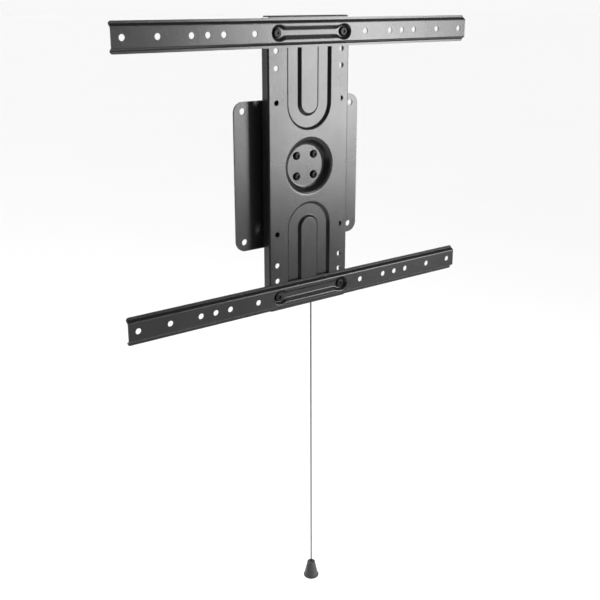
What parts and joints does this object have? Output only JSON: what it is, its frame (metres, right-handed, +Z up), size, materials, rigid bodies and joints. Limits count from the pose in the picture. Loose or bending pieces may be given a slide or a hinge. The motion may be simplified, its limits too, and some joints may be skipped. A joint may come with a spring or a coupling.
{
  "type": "monitor mount",
  "caption": "Flat wall mount with a turning pressed carrier, horizontal display rails with rows of holes, and a hanging bell pull that frees the turn lock.",
  "frame": {"origin": "centre of the four wall holes, on the wall plate's back face", "axes": "+X right seen from the front, +Y back into the wall, +Z up"},
  "size_m": [0.63, 0.039, 0.9801],
  "materials": {
    "powder_black": "semi-gloss black powder coat",
    "black_fastener": "black oxide",
    "zinc_steel": "zinc plated",
    "nylon": "natural nylon",
    "cord_black": "braided polyester",
    "pull_plastic": "satin moulded"
  },
  "bodies": {
    "wall_bracket": {"wall_plate": "powder_black", "pivot_post": "zinc_steel", "rear_washer": "nylon", "front_washer": "zinc_steel", "disc_spring": "zinc_steel", "pivot_nut": "zinc_steel", "lock_housing": "powder_black", "housing_screws": "zinc_steel", "lock_spring": "zinc_steel"},
    "carrier": {"carrier_tray": "powder_black", "hub_rotor": "zinc_steel", "cup_screws": "black_fastener", "rail_upper": "powder_black", "rail_lower": "powder_black", "rail_bolts": "black_fastener", "rail_nuts": "zinc_steel"},
    "lock": {"lock_bolt": "zinc_steel", "cord_sleeve": "zinc_steel", "cord": "cord_black", "bell_pull": "pull_plastic", "cord_knot": "cord_black"}
  },
  "joints": [
    {"name": "hub_turn", "type": "hinge", "parent": "wall_bracket", "child": "carrier", "pos_m": [0, 0, 0.012], "axis": [0, -1, 0], "range_deg": [-90, 90]},
    {"name": "lock_slide", "type": "slide", "parent": "wall_bracket", "child": "lock", "axis": [0, 0, 1], "range_m": [0, 0.009], "stiffness_N_per_m": 300, "springref_m": 0.02, "deforming": ["lock_spring"]}
  ]
}
